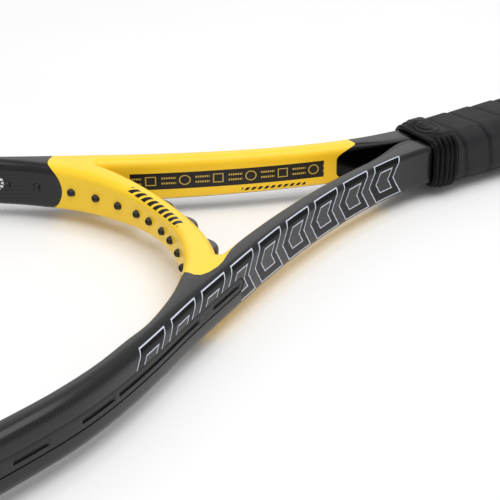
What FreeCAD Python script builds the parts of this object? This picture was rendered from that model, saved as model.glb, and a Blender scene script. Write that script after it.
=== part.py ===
import FreeCAD, Part
import math
import os

# Tennis racket, unstrung. Millimetres.
# The racket lies flat: +X runs from the butt to the tip of the head, +Z is the face normal and
# the frame is symmetric about the planes y = 0 and z = 0. The origin is the centre of the butt face.

V = FreeCAD.Vector

# ---- frame: driving dimensions ----
RACKET_LENGTH = 685.8          # 27 in, butt face to the outside of the bumper guard
BUMPER_PROUD = 1.8             # how far the bumper guard stands out of the hoop
HOOP_HALF_WIDTH = 5.4          # hoop tube, half its width in the plane of the face
SHAFT_HALF_BEAM = 8.95         # half the frame height in the handle
HOOP_HALF_BEAM = 10.75         # half the frame height at the hoop
BEAM_RAMP = (200.0, 420.0)     # x range over which the beam grows
SHAFT_EDGE_RADIUS = 2.2
HOOP_EDGE_RADIUS = 4.3
SHAFT_SEAM_RADIUS = 0.4        # edges where the two shaft tubes meet
SEAM_RAMP = (199.0, 228.0)     # x range over which the tubes part and the seam opens to a valley
TUBE_WALL = 2.3
SHOULDER_X = 372.0             # the arms' laminate ends and the hoop's starts
BRIDGE_HALF_BEAM = (8.0, 9.7)  # half the bridge height at its middle and at its ends
BRIDGE_HALF_SPAN = 52.0

# Centre line of one side of the frame, butt to tip: x, y and half the tube's width there.
SIDE_TUBE = (
    (14.0, 6.35, 6.35),
    (100.0, 6.35, 6.35),
    (160.0, 6.35, 6.35),
    (178.0, 6.35, 6.35),
    (186.0, 6.35, 6.35),
    (193.0, 6.36, 6.36),
    (204.0, 6.75, 6.6),
    (218.0, 9.9, 5.2),
    (232.0, 13.7, 4.6),
    (255.0, 21.0, 4.6),
    (280.0, 31.1, 4.8),
    (305.0, 43.0, 5.0),
    (325.0, 53.9, 5.1),
    (345.0, 65.3, 5.1),
    (362.0, 75.5, 4.9),
    (376.0, 84.7, 4.6),
    (390.0, 93.0, 4.6),
    (417.0, 105.7, 5.0),
    (440.0, 112.8, 5.3),
    (474.0, 121.0, 5.4),
    (512.0, 125.9, 5.4),
    (566.0, 122.0, 5.4),
    (612.0, 106.6, 5.4),
    (648.0, 80.6, 5.4),
    (671.0, 44.4, 5.4),
)
WIDEST = (512.0, 125.9, 5.4)   # the point of it that is farthest out
# Centre line of one side of the bridge, middle to shoulder, in the same form.
BRIDGE_TUBE = (
    (326.6, 20.0, 4.7),
    (330.8, 36.2, 5.2),
    (337.5, 49.5, 5.6),
    (348.6, 64.1, 6.0),
)
BRIDGE_MIDDLE = (324.65, 0.0, 4.35)

# ---- string holes, grommets and bumper ----
MAIN_Y = (5.0, 14.3, 25.4, 36.8, 48.2, 61.0, 70.5, 82.5)   # long strings, one side
BRIDGE_MAINS = 5               # the first of them pass through the bridge
CROSS_START_X = 387.0
CROSS_SPACING = 13.9
CROSS_COUNT = 19
HOLE_RADIUS = 2.0
BARREL_RADIUS = 1.8
BARREL_BORE_RADIUS = 1.0
BARREL_PROUD = 1.6             # how far a barrel stands into the head
CHANNEL_DEPTH = 1.3
CHANNEL_HALF_HEIGHT = 3.2
CHANNEL_X = (324.5, 602.5)
CHANNEL_GAP = 0.1              # strip to channel
STRING_GROOVE_HALF_HEIGHT = 0.9
STRING_GROOVE_DEPTH = 0.6
BUMPER_START_X = 601.5
BUMPER_HALF_HEIGHT = 8.4
LOBE_RADIUS = 8.2              # humps of the bridge strip, each round two long strings
LOBE_PROUD = 4.4
LOBE_HALF_HEIGHT = 4.2
LOBE_EDGE_RADIUS = 2.0
BRIDGE_STRIP_DEPTH = 1.6
BRIDGE_STRIP_HALF_HEIGHT = 3.0

# ---- handle ----
# An octagon is given as half width, half height and bevel.
PALLET_X = (5.0, 191.0)
PALLET_BUTT = (14.6, 11.8, 4.4)
PALLET_THROAT = (13.9, 10.9, 4.0)
PALLET_GAP = 0.06              # pallet to shaft tubes
WRAP_X = (24.0, 184.5)
WRAP_THICKNESS = 1.5
WRAP_TAIL_X = (184.5, 189.5)   # the wrap's skived tail, under the tape
WRAP_TAIL_THICKNESS = 0.6
TAPE_X = (185.4, 189.5)
TAPE_THICKNESS = 0.25
COLLAR_X = (184.9, 197.6)
COLLAR_REAR = (16.2, 13.2, 4.8)
COLLAR_FRONT = (15.6, 11.0, 3.6)
COLLAR_REAR_BORE = (15.1, 12.1, 4.3)
COLLAR_FRONT_BORE = (14.2, 9.6, 2.0)
COLLAR_STEP_X = 192.0          # the bore narrows from here to the front lip
COLLAR_GROOVES = 4
COLLAR_GROOVE_DEPTH = 0.5
BUTT_FLARE = (18.4, 15.6, 5.6)
BUTT_NECK = (16.9, 14.1, 5.2)
BUTT_FLARE_X = 7.0             # the full flare ends here
SKIRT_X = (24.0, 38.0)         # thin skirt of the butt cap, under the wrap
SKIRT_THICKNESS = 0.7
BUTT_GAP = 0.1                 # cap to pallet
BADGE_HALF_SIZE = (11.0, 7.5)
BADGE_THICKNESS = 2.0
BADGE_GAP = 0.2
BADGE_STEM_HALF_SIZE = (7.0, 4.0)
STAPLE_WIRE = 0.8
STAPLE_CROWN = 9.0
STAPLE_LEG = 2.8
CAP_STAPLE_X = 31.0
GRIP_STAPLE_X = 46.0

# ---- loft detail ----
ARM_SECTIONS = 60
HOOP_SECTIONS = 46
BRIDGE_SECTIONS = 31
BAND_SECTIONS = 121
OVERRUN = 2.5                  # how far a cavity runs past the joint between two laminates
DRILL_OVERRUN = 6.0            # how far a string hole's cut runs past the walls

FAR = 400.0                    # larger than the racket is wide


# ---- helpers ----
def box(low, high):
    size = V(*high) - V(*low)
    return Part.makeBox(size.x, size.y, size.z, V(*low))


def mirror_y(shape):
    return shape.mirror(V(0, 0, 0), V(0, 1, 0))


def ramp(value, low, high):
    """0 below low, 1 above high and an S curve between them."""
    t = min(max((value - low) / (high - low), 0.0), 1.0)
    return t * t * (3.0 - 2.0 * t)


def between(start, end, share):
    return start + (end - start) * share


# ---- frame tubes ----
def centre_curve(points):
    """Spline through x, y and half width: the width rides along as the third coordinate."""
    curve = Part.BSplineCurve()
    curve.interpolate([V(*p) for p in points])
    return curve


def whole_frame_curve():
    tip = (RACKET_LENGTH - BUMPER_PROUD - HOOP_HALF_WIDTH, 0.0, HOOP_HALF_WIDTH)
    mirrored = tuple((x, -y, w) for x, y, w in reversed(SIDE_TUBE))
    return centre_curve(SIDE_TUBE + (tip,) + mirrored)


def whole_bridge_curve():
    mirrored = tuple((x, -y, w) for x, y, w in reversed(BRIDGE_TUBE))
    return centre_curve(mirrored + (BRIDGE_MIDDLE,) + BRIDGE_TUBE)


def frame_half_beam(x, y):
    return between(SHAFT_HALF_BEAM, HOOP_HALF_BEAM, ramp(x, *BEAM_RAMP))


def bridge_half_beam(x, y):
    return between(*BRIDGE_HALF_BEAM, ramp(abs(y), 0.0, BRIDGE_HALF_SPAN))


def edge_radius(x):
    return between(SHAFT_EDGE_RADIUS, HOOP_EDGE_RADIUS, ramp(x, *BEAM_RAMP))


def seam_radius(x):
    return between(SHAFT_SEAM_RADIUS, edge_radius(x), ramp(x, *SEAM_RAMP))


def section(centre, across, half_width, half_beam, outside_radius, inside_radius):
    """Rounded rectangle standing on the centre line. 'across' points out of the head or throat."""
    up = V(0, 0, 1)
    corners = (
        (1, 1, outside_radius),
        (-1, 1, inside_radius),
        (-1, -1, inside_radius),
        (1, -1, outside_radius),
    )
    arcs = []
    for side, level, radius in corners:
        middle = centre + across * (side * (half_width - radius)) + up * (level * (half_beam - radius))
        flat = across * (side * radius)
        rise = up * (level * radius)
        ends = [middle + flat, middle + rise]
        if side * level < 0:
            ends.reverse()
        diagonal = middle + (flat + rise) * math.sqrt(0.5)
        arcs.append(Part.Arc(ends[0], diagonal, ends[1]).toShape())
    edges = []
    for arc, following in zip(arcs, arcs[1:] + arcs[:1]):
        edges.append(arc)
        edges.append(Part.makeLine(arc.Vertexes[-1].Point, following.Vertexes[0].Point))
    return Part.Wire(edges)


def tube(curve, start, end, count, half_beam, inset=0.0):
    """Loft along a centre curve between two of its parameters, inset by a wall thickness."""
    wires = []
    for k in range(count):
        u = between(start, end, k / (count - 1.0))
        at = curve.value(u)
        along = curve.tangent(u)[0]
        along = V(along.x, along.y, 0).normalize()
        across = V(0, 0, 1).cross(along)
        radius = edge_radius(at.x) - inset * 0.8
        seam = seam_radius(at.x) - inset * 0.8
        wires.append(section(
            V(at.x, at.y, 0),
            across,
            at.z - inset,
            half_beam(at.x, at.y) - inset,
            max(radius, 0.5),
            max(seam, 0.3),
        ))
    return Part.makeLoft(wires, True)


def parameter_at(curve, x):
    """Parameter where the left side of the frame's centre line crosses x, short of its widest."""
    low = curve.FirstParameter
    high = curve.parameter(V(*WIDEST))
    for _ in range(40):
        middle = (low + high) / 2.0
        if curve.value(middle).x < x:
            low = middle
        else:
            high = middle
    return (low + high) / 2.0


def band(curve, start, end, offsets, half_height):
    """Flat strip along the outside of a tube, between two distances from its outer face."""
    wires = []
    up = V(0, 0, half_height)
    for k in range(BAND_SECTIONS):
        u = between(start, end, k / (BAND_SECTIONS - 1.0))
        at = curve.value(u)
        along = curve.tangent(u)[0]
        along = V(along.x, along.y, 0).normalize()
        across = V(0, 0, 1).cross(along)
        near = V(at.x, at.y, 0) + across * (at.z + offsets[0])
        far = V(at.x, at.y, 0) + across * (at.z + offsets[1])
        wires.append(Part.makePolygon([near + up, far + up, far - up, near - up, near + up]))
    return Part.makeLoft(wires, True)


# ---- string holes ----
class Hole:
    """One string hole: a line from the inner wall of the head to the outside of the frame."""

    def __init__(self, inner, outer):
        self.inner = inner
        self.outer = outer
        self.away = (outer - inner).normalize()

    def rod(self, radius, past_inner, past_outer):
        start = self.inner - self.away * past_inner
        length = (self.outer - self.inner).Length + past_inner + past_outer
        return Part.makeCylinder(radius, length, start, self.away)

    def mirrored(self):
        return Hole(V(self.inner.x, -self.inner.y, 0), V(self.outer.x, -self.outer.y, 0))


def both_sides(holes):
    return holes + [hole.mirrored() for hole in holes]


def crossing(curve, low, high, axis, value):
    """Where the line x = value or y = value meets the centre line, and half its run in the tube.

    Parameters low and high bracket the place on the centre line."""
    rising = getattr(curve.value(high), axis) > getattr(curve.value(low), axis)
    for _ in range(40):
        middle = (low + high) / 2.0
        if (getattr(curve.value(middle), axis) < value) == rising:
            low = middle
        else:
            high = middle
    at = curve.value(low)
    along = curve.tangent(low)[0]
    along = V(along.x, along.y, 0).normalize()
    lean = abs(along.x) if axis == "x" else abs(along.y)
    return at, at.z / lean


def bridge_holes(bridge):
    middle = bridge.parameter(V(*BRIDGE_MIDDLE))
    holes = []
    for y in MAIN_Y[:BRIDGE_MAINS]:
        at, reach = crossing(bridge, middle, bridge.LastParameter, "y", y)
        holes.append(Hole(V(at.x + reach, y, 0), V(at.x - reach, y, 0)))
    return holes


def shoulder_holes(frame, bridge):
    """The long strings that leave through the outside of the arm."""
    start = parameter_at(frame, 300.0)
    end = parameter_at(frame, 420.0)
    middle = bridge.parameter(V(*BRIDGE_MIDDLE))
    holes = []
    for y in MAIN_Y[BRIDGE_MAINS:]:
        at, reach = crossing(frame, start, end, "y", y)
        outer_x = at.x - reach
        if y < BRIDGE_TUBE[-1][1]:
            at, reach = crossing(bridge, middle, bridge.LastParameter, "y", y)
        holes.append(Hole(V(at.x + reach, y, 0), V(outer_x, y, 0)))
    return holes


def hoop_hole(frame, low, high, axis, value):
    """Hole square to the hoop, where its centre line crosses x = value or y = value."""
    at, _ = crossing(frame, low, high, axis, value)
    along = frame.tangent(frame.parameter(at))[0]
    across = V(0, 0, 1).cross(V(along.x, along.y, 0).normalize())
    middle = V(at.x, at.y, 0)
    return Hole(middle - across * at.z, middle + across * at.z)


def cross_holes(frame):
    tip = (frame.FirstParameter + frame.LastParameter) / 2.0
    start = parameter_at(frame, 360.0)
    places = [CROSS_START_X + k * CROSS_SPACING for k in range(CROSS_COUNT)]
    return [hoop_hole(frame, start, tip, "x", x) for x in places]


def tip_holes(frame):
    tip = (frame.FirstParameter + frame.LastParameter) / 2.0
    widest = parameter_at(frame, 500.0)
    return [hoop_hole(frame, widest, tip, "y", y) for y in MAIN_Y]


def grommet(body, holes, overlap):
    """A strip with its barrels, which start that far inside the strip from the outer wall."""
    barrels = [hole.rod(BARREL_RADIUS, BARREL_PROUD, -overlap) for hole in holes]
    bores = [hole.rod(BARREL_BORE_RADIUS, DRILL_OVERRUN, 2.0 * DRILL_OVERRUN) for hole in holes]
    return body.fuse(barrels).cut(Part.makeCompound(bores))


# ---- handle ----
def octagon(x, size):
    width, height, bevel = size
    corners = (
        (width, height - bevel),
        (width - bevel, height),
        (bevel - width, height),
        (-width, height - bevel),
        (-width, bevel - height),
        (bevel - width, -height),
        (width - bevel, -height),
        (width, bevel - height),
    )
    points = [V(x, y, z) for y, z in corners]
    return Part.makePolygon(points + points[:1])


def octagon_loft(*stations):
    return Part.makeLoft([octagon(x, size) for x, size in stations], True, True)


def pallet_size(x, extra=0.0):
    """The pallet's octagon at x, grown all round by extra."""
    share = (x - PALLET_X[0]) / (PALLET_X[1] - PALLET_X[0])
    width, height, bevel = (between(a, b, share) for a, b in zip(PALLET_BUTT, PALLET_THROAT))
    return width + extra, height + extra, bevel + extra * (2.0 - math.sqrt(2.0))


def over_pallet(x_range, extra=0.0):
    """Octagonal solid along the pallet, that much larger all round."""
    return octagon_loft(*[(x, pallet_size(x, extra)) for x in x_range])


def make_shaft_bore():
    """Room for the two shaft tubes inside the pallet halves."""
    start, middle, half_width = SIDE_TUBE[0]
    wide = middle + half_width + PALLET_GAP
    tall = SHAFT_HALF_BEAM + PALLET_GAP
    bore = box((start - PALLET_GAP, -wide, -tall), (PALLET_X[1] + OVERRUN, wide, tall))
    long_edges = [e for e in bore.Edges if e.BoundBox.XLength > 1.0]
    return bore.makeFillet(SHAFT_EDGE_RADIUS, long_edges)


def make_butt_cap():
    outer = octagon_loft(
        (0.0, BUTT_FLARE),
        (BUTT_FLARE_X, BUTT_FLARE),
        (2.0 * BUTT_FLARE_X, BUTT_NECK),
        (SKIRT_X[0], BUTT_NECK),
    )
    skirt = over_pallet(SKIRT_X, SKIRT_THICKNESS)
    inside = over_pallet((PALLET_X[0], SKIRT_X[1]), BUTT_GAP)
    wide, tall = (size + BADGE_GAP for size in BADGE_HALF_SIZE)
    recess = box((0.0, -wide, -tall), (BADGE_THICKNESS, wide, tall))
    wide, tall = (size + BADGE_GAP for size in BADGE_STEM_HALF_SIZE)
    hole = box((0.0, -wide, -tall), (PALLET_X[0], wide, tall))
    return outer.fuse(skirt).cut(inside).cut(recess).cut(hole)


def make_badge():
    wide, tall = BADGE_HALF_SIZE
    plate = box((0.0, -wide, -tall), (BADGE_THICKNESS, wide, tall))
    upright = [e for e in plate.Edges if e.BoundBox.XLength > 1.0]
    plate = plate.makeFillet(BADGE_THICKNESS, upright)
    wide, tall = BADGE_STEM_HALF_SIZE
    stem = box((BADGE_THICKNESS, -wide, -tall), (PALLET_X[0] - BADGE_GAP, wide, tall))
    return plate.fuse(stem)


def make_staple(x, surface):
    """Crown along Y, bedded at height 'surface', with two legs down into the pallet."""
    half = STAPLE_CROWN / 2.0
    wire = STAPLE_WIRE / 2.0
    crown = box((x - wire, -half, surface - wire), (x + wire, half, surface))
    leg = box((x - wire, half - STAPLE_WIRE, surface - STAPLE_LEG), (x + wire, half, surface - wire))
    return crown.fuse([leg, mirror_y(leg)])


def make_wrap():
    body = over_pallet(WRAP_X, WRAP_THICKNESS)
    tail = over_pallet(WRAP_TAIL_X, WRAP_TAIL_THICKNESS)
    under = over_pallet((WRAP_X[0], WRAP_TAIL_X[1]))
    skirt = over_pallet(SKIRT_X, SKIRT_THICKNESS)
    return body.fuse(tail).cut(under).cut(skirt)


def make_tape():
    outer = over_pallet(TAPE_X, WRAP_TAIL_THICKNESS + TAPE_THICKNESS)
    return outer.cut(over_pallet(TAPE_X, WRAP_TAIL_THICKNESS))


def make_collar():
    start, end = COLLAR_X
    outer = octagon_loft((start, COLLAR_REAR), (COLLAR_STEP_X, COLLAR_REAR), (end, COLLAR_FRONT))
    bore = octagon_loft(
        (start, COLLAR_REAR_BORE),
        (COLLAR_STEP_X, COLLAR_REAR_BORE),
        (end, COLLAR_FRONT_BORE),
    )
    width, height, bevel = COLLAR_REAR
    pitch = (end - start) / (COLLAR_GROOVES + 1.0)
    grooves = []
    for k in range(COLLAR_GROOVES):
        x = start + (k + 0.8) * pitch
        outside = width - 0.6 * ramp(x, COLLAR_STEP_X, end)
        low = (x, outside - COLLAR_GROOVE_DEPTH, bevel - height)
        high = (x + 0.45 * pitch, FAR, height - bevel)
        groove = box(low, high)
        grooves += [groove, mirror_y(groove)]
    return outer.cut(bore).cut(Part.makeCompound(grooves))


# ---- the frame and what is fixed to it ----
frame = whole_frame_curve()
bridge = whole_bridge_curve()
butt = frame.FirstParameter
tip = (frame.FirstParameter + frame.LastParameter) / 2.0
shoulder = parameter_at(frame, SHOULDER_X)

shoulder_string_holes = shoulder_holes(frame, bridge)
yoke_string_holes = bridge_holes(bridge)
crosses = cross_holes(frame)
side_string_holes = shoulder_string_holes + [h for h in crosses if h.inner.x < BUMPER_START_X]
guard_string_holes = [h for h in crosses if h.inner.x > BUMPER_START_X] + tip_holes(frame)

right_half = box((-FAR, -FAR, -FAR), (2.0 * FAR, 0.0, FAR))
arm_outside = tube(frame, butt, shoulder, ARM_SECTIONS, frame_half_beam).cut(right_half)
hoop_half_outside = tube(frame, shoulder, tip, HOOP_SECTIONS, frame_half_beam)
hoop_outside = hoop_half_outside.fuse(mirror_y(hoop_half_outside))
shaft_outside = arm_outside.fuse(mirror_y(arm_outside))


def drill(holes):
    rods = [hole.rod(HOLE_RADIUS, DRILL_OVERRUN, DRILL_OVERRUN) for hole in holes]
    return Part.makeCompound(rods)


def slot_prism(gap):
    """Round-ended slot seen from the side, cut through the left half of the racket."""
    tall = CHANNEL_HALF_HEIGHT - gap
    slot = box((CHANNEL_X[0] + gap, 0.0, -tall), (CHANNEL_X[1] - gap, FAR, tall))
    ends = [e for e in slot.Edges if e.BoundBox.YLength > 1.0]
    return slot.makeFillet(tall * 0.98, ends)


def side_band(offsets, half_height):
    start = parameter_at(frame, CHANNEL_X[0] - 10.0)
    return band(frame, start, tip, offsets, half_height)


def make_channel():
    """Space moulded into the outside of the left arm and hoop for the side grommet strip."""
    return side_band((-CHANNEL_DEPTH, CHANNEL_DEPTH), HOOP_HALF_BEAM).common(slot_prism(0.0))


def make_left_arm(channel):
    inside = tube(frame, butt + OVERRUN, shoulder + OVERRUN, ARM_SECTIONS, frame_half_beam, TUBE_WALL)
    return arm_outside.cut(inside).cut(channel).cut(drill(shoulder_string_holes))


def make_head_hoop(channel):
    inside = tube(frame, shoulder - OVERRUN, tip + OVERRUN, HOOP_SECTIONS, frame_half_beam, TUBE_WALL)
    half = hoop_half_outside.cut(inside).cut(channel)
    half = half.cut(drill(side_string_holes + guard_string_holes))
    return half.fuse(mirror_y(half))


def bridge_tube(inset=0.0):
    ends = (bridge.FirstParameter, bridge.LastParameter)
    return tube(bridge, *ends, BRIDGE_SECTIONS, bridge_half_beam, inset)


def make_throat_bridge():
    walls = bridge_tube().cut(bridge_tube(TUBE_WALL))
    clear = walls.cut(shaft_outside).cut(hoop_outside)
    return clear.cut(drill(both_sides(yoke_string_holes + shoulder_string_holes)))


def make_side_strip():
    base = side_band((CHANNEL_GAP - CHANNEL_DEPTH, -CHANNEL_GAP), HOOP_HALF_BEAM)
    base = base.common(slot_prism(CHANNEL_GAP))
    line = side_band((-STRING_GROOVE_DEPTH, CHANNEL_DEPTH), STRING_GROOVE_HALF_HEIGHT)
    holes = sorted(side_string_holes, key=lambda hole: hole.outer.x)
    runs = [(holes[0], holes[1]), (holes[2], holes[4])] + list(zip(holes[5::2], holes[6::2]))
    grooves = []
    for first, last in runs:
        low = (first.outer.x, 0.0, -STRING_GROOVE_HALF_HEIGHT)
        high = (last.outer.x, FAR, STRING_GROOVE_HALF_HEIGHT)
        grooves.append(line.common(box(low, high)))
    base = base.cut(Part.makeCompound(grooves))
    return grommet(base, side_string_holes, CHANNEL_DEPTH * 0.6)


def make_bumper_guard():
    start = parameter_at(frame, BUMPER_START_X)
    depths = (BUMPER_PROUD / 2.0, 2.0 * BUMPER_PROUD)
    half = band(frame, start, tip, (-HOOP_EDGE_RADIUS / 2.0, BUMPER_PROUD), BUMPER_HALF_HEIGHT)
    line = band(frame, start - OVERRUN, tip + OVERRUN, depths, 2.0 * STRING_GROOVE_HALF_HEIGHT)
    half = half.cut(hoop_half_outside).cut(line)
    half = grommet(half, guard_string_holes, -BUMPER_PROUD / 4.0)
    return half.fuse(mirror_y(half))


def make_lobe(first, second):
    """Hump that the string turns round between two neighbouring holes of the bridge."""
    middle = (first.outer + second.outer) * 0.5
    centre = middle - first.away * (LOBE_RADIUS - LOBE_PROUD)
    foot = centre - V(0, 0, LOBE_HALF_HEIGHT)
    lobe = Part.makeCylinder(LOBE_RADIUS, 2.0 * LOBE_HALF_HEIGHT, foot)
    rims = [e for e in lobe.Edges if e.BoundBox.ZLength < 0.1]
    return lobe.makeFillet(LOBE_EDGE_RADIUS, rims)


def make_bridge_strip():
    x, y, width = BRIDGE_TUBE[2]
    start = bridge.parameter(V(x, -y, width))
    end = bridge.parameter(V(x, y, width))
    base = band(bridge, start, end, (-TUBE_WALL / 2.0, BRIDGE_STRIP_DEPTH), BRIDGE_STRIP_HALF_HEIGHT)
    lobes = [make_lobe(*yoke_string_holes[0:2]), make_lobe(*yoke_string_holes[2:4])]
    lobes += [mirror_y(lobe) for lobe in lobes]
    strip = base.fuse(lobes).cut(bridge_tube()).cut(shaft_outside).cut(hoop_outside)
    return grommet(strip, both_sides(yoke_string_holes), -BRIDGE_STRIP_DEPTH / 2.0)


def make_cap_staples():
    top = pallet_size(CAP_STAPLE_X, SKIRT_THICKNESS)[1]
    upper = make_staple(CAP_STAPLE_X, top)
    return Part.makeCompound([upper, upper.mirror(V(0, 0, 0), V(0, 0, 1))])


# ---- sub-parts ----
channel = make_channel()
left_arm = make_left_arm(channel)
left_strip = make_side_strip()
pallet = over_pallet(PALLET_X).cut(make_shaft_bore())
lower_half = box((-FAR, -FAR, -FAR), (FAR, FAR, 0.0))
upper_half = box((-FAR, -FAR, 0.0), (FAR, FAR, FAR))
cap_staples = make_cap_staples()
grip_staple = make_staple(GRIP_STAPLE_X, pallet_size(GRIP_STAPLE_X, STAPLE_WIRE / 2.0)[1])

NODES = {
    "head_hoop": make_head_hoop(channel),
    "throat_bridge": make_throat_bridge(),
    "left_arm": left_arm,
    "right_arm": mirror_y(left_arm),
    "bumper_guard": make_bumper_guard(),
    "left_grommet_strip": left_strip,
    "right_grommet_strip": mirror_y(left_strip),
    "bridge_grommet_strip": make_bridge_strip(),
    "upper_pallet": pallet.cut(lower_half),
    "lower_pallet": pallet.cut(upper_half),
    "butt_cap": make_butt_cap(),
    "butt_cap_badge": make_badge(),
    "butt_cap_staples": cap_staples,
    "grip_staple": grip_staple,
    "grip_wrap": make_wrap(),
    "finishing_tape": make_tape(),
    "grip_collar": make_collar(),
}

os.makedirs("parts", exist_ok=True)
for name, shape in NODES.items():
    shape.exportStep(os.path.join("parts", name + ".step"))
    print(name, "valid" if shape.isValid() else "NOT VALID", len(shape.Solids), round(shape.Volume))
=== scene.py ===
import math

import bmesh
import bpy
import numpy as np
from mathutils import Matrix, Vector
from mathutils.kdtree import KDTree


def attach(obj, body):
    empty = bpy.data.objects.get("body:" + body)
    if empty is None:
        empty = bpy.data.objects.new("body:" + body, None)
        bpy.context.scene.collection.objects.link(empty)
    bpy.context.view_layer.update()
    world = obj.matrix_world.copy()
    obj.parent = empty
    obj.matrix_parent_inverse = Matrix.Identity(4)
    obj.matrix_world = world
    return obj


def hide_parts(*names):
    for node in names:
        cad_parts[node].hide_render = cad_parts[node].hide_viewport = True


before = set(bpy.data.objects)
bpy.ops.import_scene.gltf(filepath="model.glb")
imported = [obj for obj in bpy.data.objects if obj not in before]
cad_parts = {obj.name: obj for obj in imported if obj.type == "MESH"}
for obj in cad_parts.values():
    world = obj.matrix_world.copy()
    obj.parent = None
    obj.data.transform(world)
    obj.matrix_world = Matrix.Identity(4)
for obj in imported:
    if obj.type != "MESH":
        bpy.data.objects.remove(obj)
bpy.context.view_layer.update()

# ---------------------------------------------------------------------------
# Painted frame. Two hollow carbon laminate tubes leave the handle side by side, part at the
# throat and run round the head, with a bridge tube moulded between them. It is lacquered black
# outside and warm yellow inside, and the yellow covers the bridge and both shoulders.

MM = 0.001
LENGTH = 685.8
BUMPER_PROUD = 1.8
HOOP_HALF_WIDTH = 5.4
# centre line of the left tube: x, y and half its width, in millimetres
SIDE_LINE = (
    (14.0, 6.35, 6.35), (100.0, 6.35, 6.35), (160.0, 6.35, 6.35), (178.0, 6.35, 6.35),
    (186.0, 6.35, 6.35), (193.0, 6.36, 6.36), (204.0, 6.75, 6.6), (218.0, 9.9, 5.2),
    (232.0, 13.7, 4.6), (255.0, 21.0, 4.6), (280.0, 31.1, 4.8), (305.0, 43.0, 5.0),
    (325.0, 53.9, 5.1), (345.0, 65.3, 5.1), (362.0, 75.5, 4.9), (376.0, 84.7, 4.6),
    (390.0, 93.0, 4.6), (417.0, 105.7, 5.0), (440.0, 112.8, 5.3), (474.0, 121.0, 5.4),
    (512.0, 125.9, 5.4), (566.0, 122.0, 5.4), (612.0, 106.6, 5.4), (648.0, 80.6, 5.4),
    (671.0, 44.4, 5.4), (LENGTH - BUMPER_PROUD - HOOP_HALF_WIDTH, 0.0, HOOP_HALF_WIDTH),
)
# edge of the bridge on the throat side, and inside of the head from the bridge to the hoop
THROAT_EDGE = ((320.3, 0.0, 0.0), (321.8, 20.0, 0.0), (325.3, 36.5, 0.0), (331.0, 52.0, 0.0))
HEAD_EDGE = (
    (329.0, 0.0, 0.0), (331.0, 18.0, 0.0), (335.0, 31.0, 0.0), (340.0, 42.0, 0.0),
    (345.0, 50.0, 0.0), (350.0, 56.6, 0.0), (360.0, 67.2, 0.0), (370.0, 75.6, 0.0),
    (380.0, 82.5, 0.0),
)
SHAFT_HALF_BEAM, HOOP_HALF_BEAM = 8.95, 10.75
SHAFT_EDGE_RADIUS, HOOP_EDGE_RADIUS = 2.2, 4.3
BEAM_RAMP = (200.0, 420.0)
BRIDGE_HALF_BEAM, BRIDGE_RISE, BRIDGE_HALF_SPAN = 8.0, 1.7, 52.0
INNER_EDGE_RADIUS = 3.6
STEP = 0.9
FINE_STEP = 0.25
THROAT_CORNER = 4.0
EDGE_ROWS = 7


def smooth_line(points, step, mirror_start=False, mirror_end=False):
    """Points at even steps along the smooth line through the given ones. A mirrored end
    crosses the plane y = 0 squarely."""
    given = [np.array(p) for p in points]
    flip = np.array((1.0, -1.0, 1.0))
    before = [p * flip for p in given[3:0:-1]] if mirror_start else []
    after = [p * flip for p in given[-2:-5:-1]] if mirror_end else []
    line = np.array(before + given + after)
    spans = np.linalg.norm(np.diff(line[:, :2], axis=0), axis=1)
    at = np.concatenate(([0.0], np.cumsum(spans)))
    count = len(line)
    system = np.eye(count)
    right = np.zeros((count, 3))
    for k in range(1, count - 1):
        low, high = spans[k - 1], spans[k]
        system[k, k - 1:k + 2] = (low, 2.0 * (low + high), high)
        right[k] = 6.0 * ((line[k + 1] - line[k]) / high - (line[k] - line[k - 1]) / low)
    bend = np.linalg.solve(system, right)
    first, last = at[len(before)], at[count - 1 - len(after)]
    places = np.linspace(first, last, max(int(round((last - first) / step)), 2) + 1)
    k = np.clip(np.searchsorted(at, places, side="right") - 1, 0, count - 2)
    span = spans[k][:, None]
    a = (at[k + 1][:, None] - places[:, None]) / span
    b = 1.0 - a
    return (
        a * line[k] + b * line[k + 1]
        + ((a ** 3 - a) * bend[k] + (b ** 3 - b) * bend[k + 1]) * span ** 2 / 6.0
    )


def left_normals(line):
    """Unit vectors square to a flat line, to the left of its direction."""
    run = np.gradient(line[:, :2], axis=0)
    run /= np.linalg.norm(run, axis=1)[:, None]
    return np.stack((-run[:, 1], run[:, 0]), axis=1)


def ease(value, low, high):
    t = np.clip((value - low) / (high - low), 0.0, 1.0)
    return t * t * (3.0 - 2.0 * t)


def shaft_beam(x):
    """Half the height of the arms and hoop."""
    return SHAFT_HALF_BEAM + (HOOP_HALF_BEAM - SHAFT_HALF_BEAM) * ease(x, *BEAM_RAMP)


def edge_radius(x):
    """Radius of the long edges of the arms and hoop."""
    return SHAFT_EDGE_RADIUS + (HOOP_EDGE_RADIUS - SHAFT_EDGE_RADIUS) * ease(x, *BEAM_RAMP)


side_line = smooth_line(SIDE_LINE, STEP, mirror_end=True)
side_line[-1, 1] = 0.0
side_out = left_normals(side_line)
side_out[-1] = (1.0, 0.0)
side_half = side_line[:, 2:3]
outer_edge = side_line[:, :2] + side_out * side_half
tube_inside = side_line[:, :2] - side_out * side_half
tube_inside[:, 1] = np.maximum(tube_inside[:, 1], np.where(side_line[:, 0] < 400.0, 0.02, 0.0))

bridge_throat = smooth_line(THROAT_EDGE, STEP, mirror_start=True)[:, :2]
start_of_hoop = int(np.argmax(side_line[:, 0] > 384.0))
hoop_points = tuple((*tube_inside[k], 0.0) for k in range(start_of_hoop, start_of_hoop + 60, 15))
head_low = smooth_line(HEAD_EDGE + hoop_points, STEP, mirror_start=True)[:, :2]
near_end = int(np.argmin(np.linalg.norm(tube_inside - head_low[-1], axis=1)))
head_edge = np.concatenate((head_low, tube_inside[near_end + 1:]))
head_edge[0, 1] = 0.0
head_edge[-1, 1] = 0.0

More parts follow.
